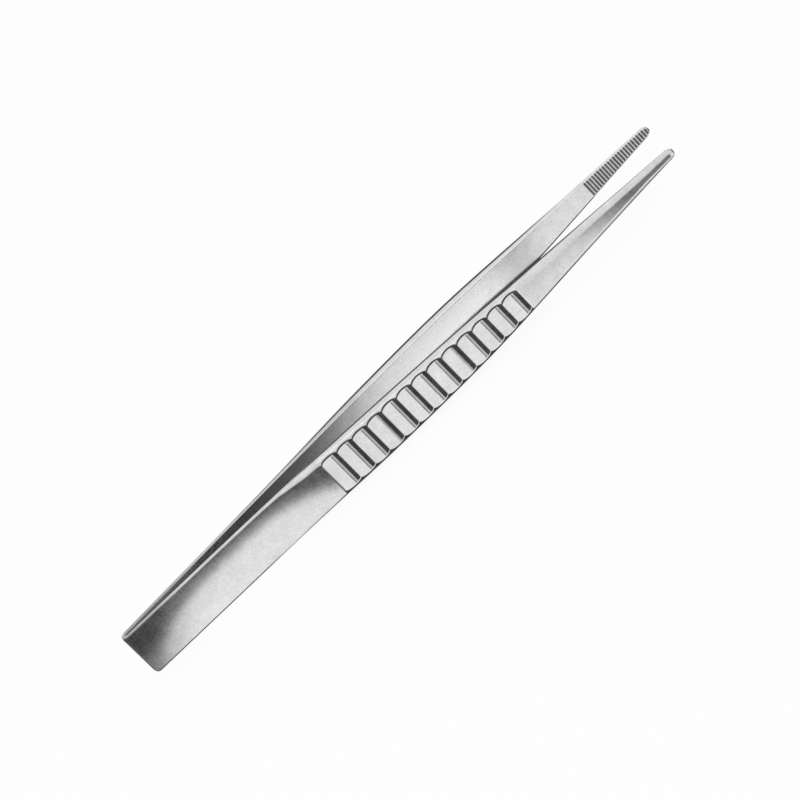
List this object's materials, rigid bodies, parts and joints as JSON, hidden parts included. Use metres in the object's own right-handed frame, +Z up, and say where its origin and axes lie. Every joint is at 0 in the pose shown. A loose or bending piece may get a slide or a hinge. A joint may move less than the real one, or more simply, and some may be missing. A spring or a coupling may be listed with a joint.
{
  "type": "thumb forceps",
  "caption": "Sprung steel forceps folded from one strip, with fluted finger grips, rounded shoulders and serrated blunt jaws, for picking up and holding small things between the tips.",
  "frame": {"origin": "middle of the overall box, on the plane of the lower edges that the forceps lie on", "axes": "+X along the length from the fold to the tips, +Y across from one leg to the other, +Z up along the width of the strip"},
  "size_m": [0.145, 0.0142, 0.0109],
  "materials": {
    "steel": "satin ground stainless steel, with brighter edges"
  },
  "bodies": {
    "root": {"forceps": "steel"}
  },
  "joints": []
}
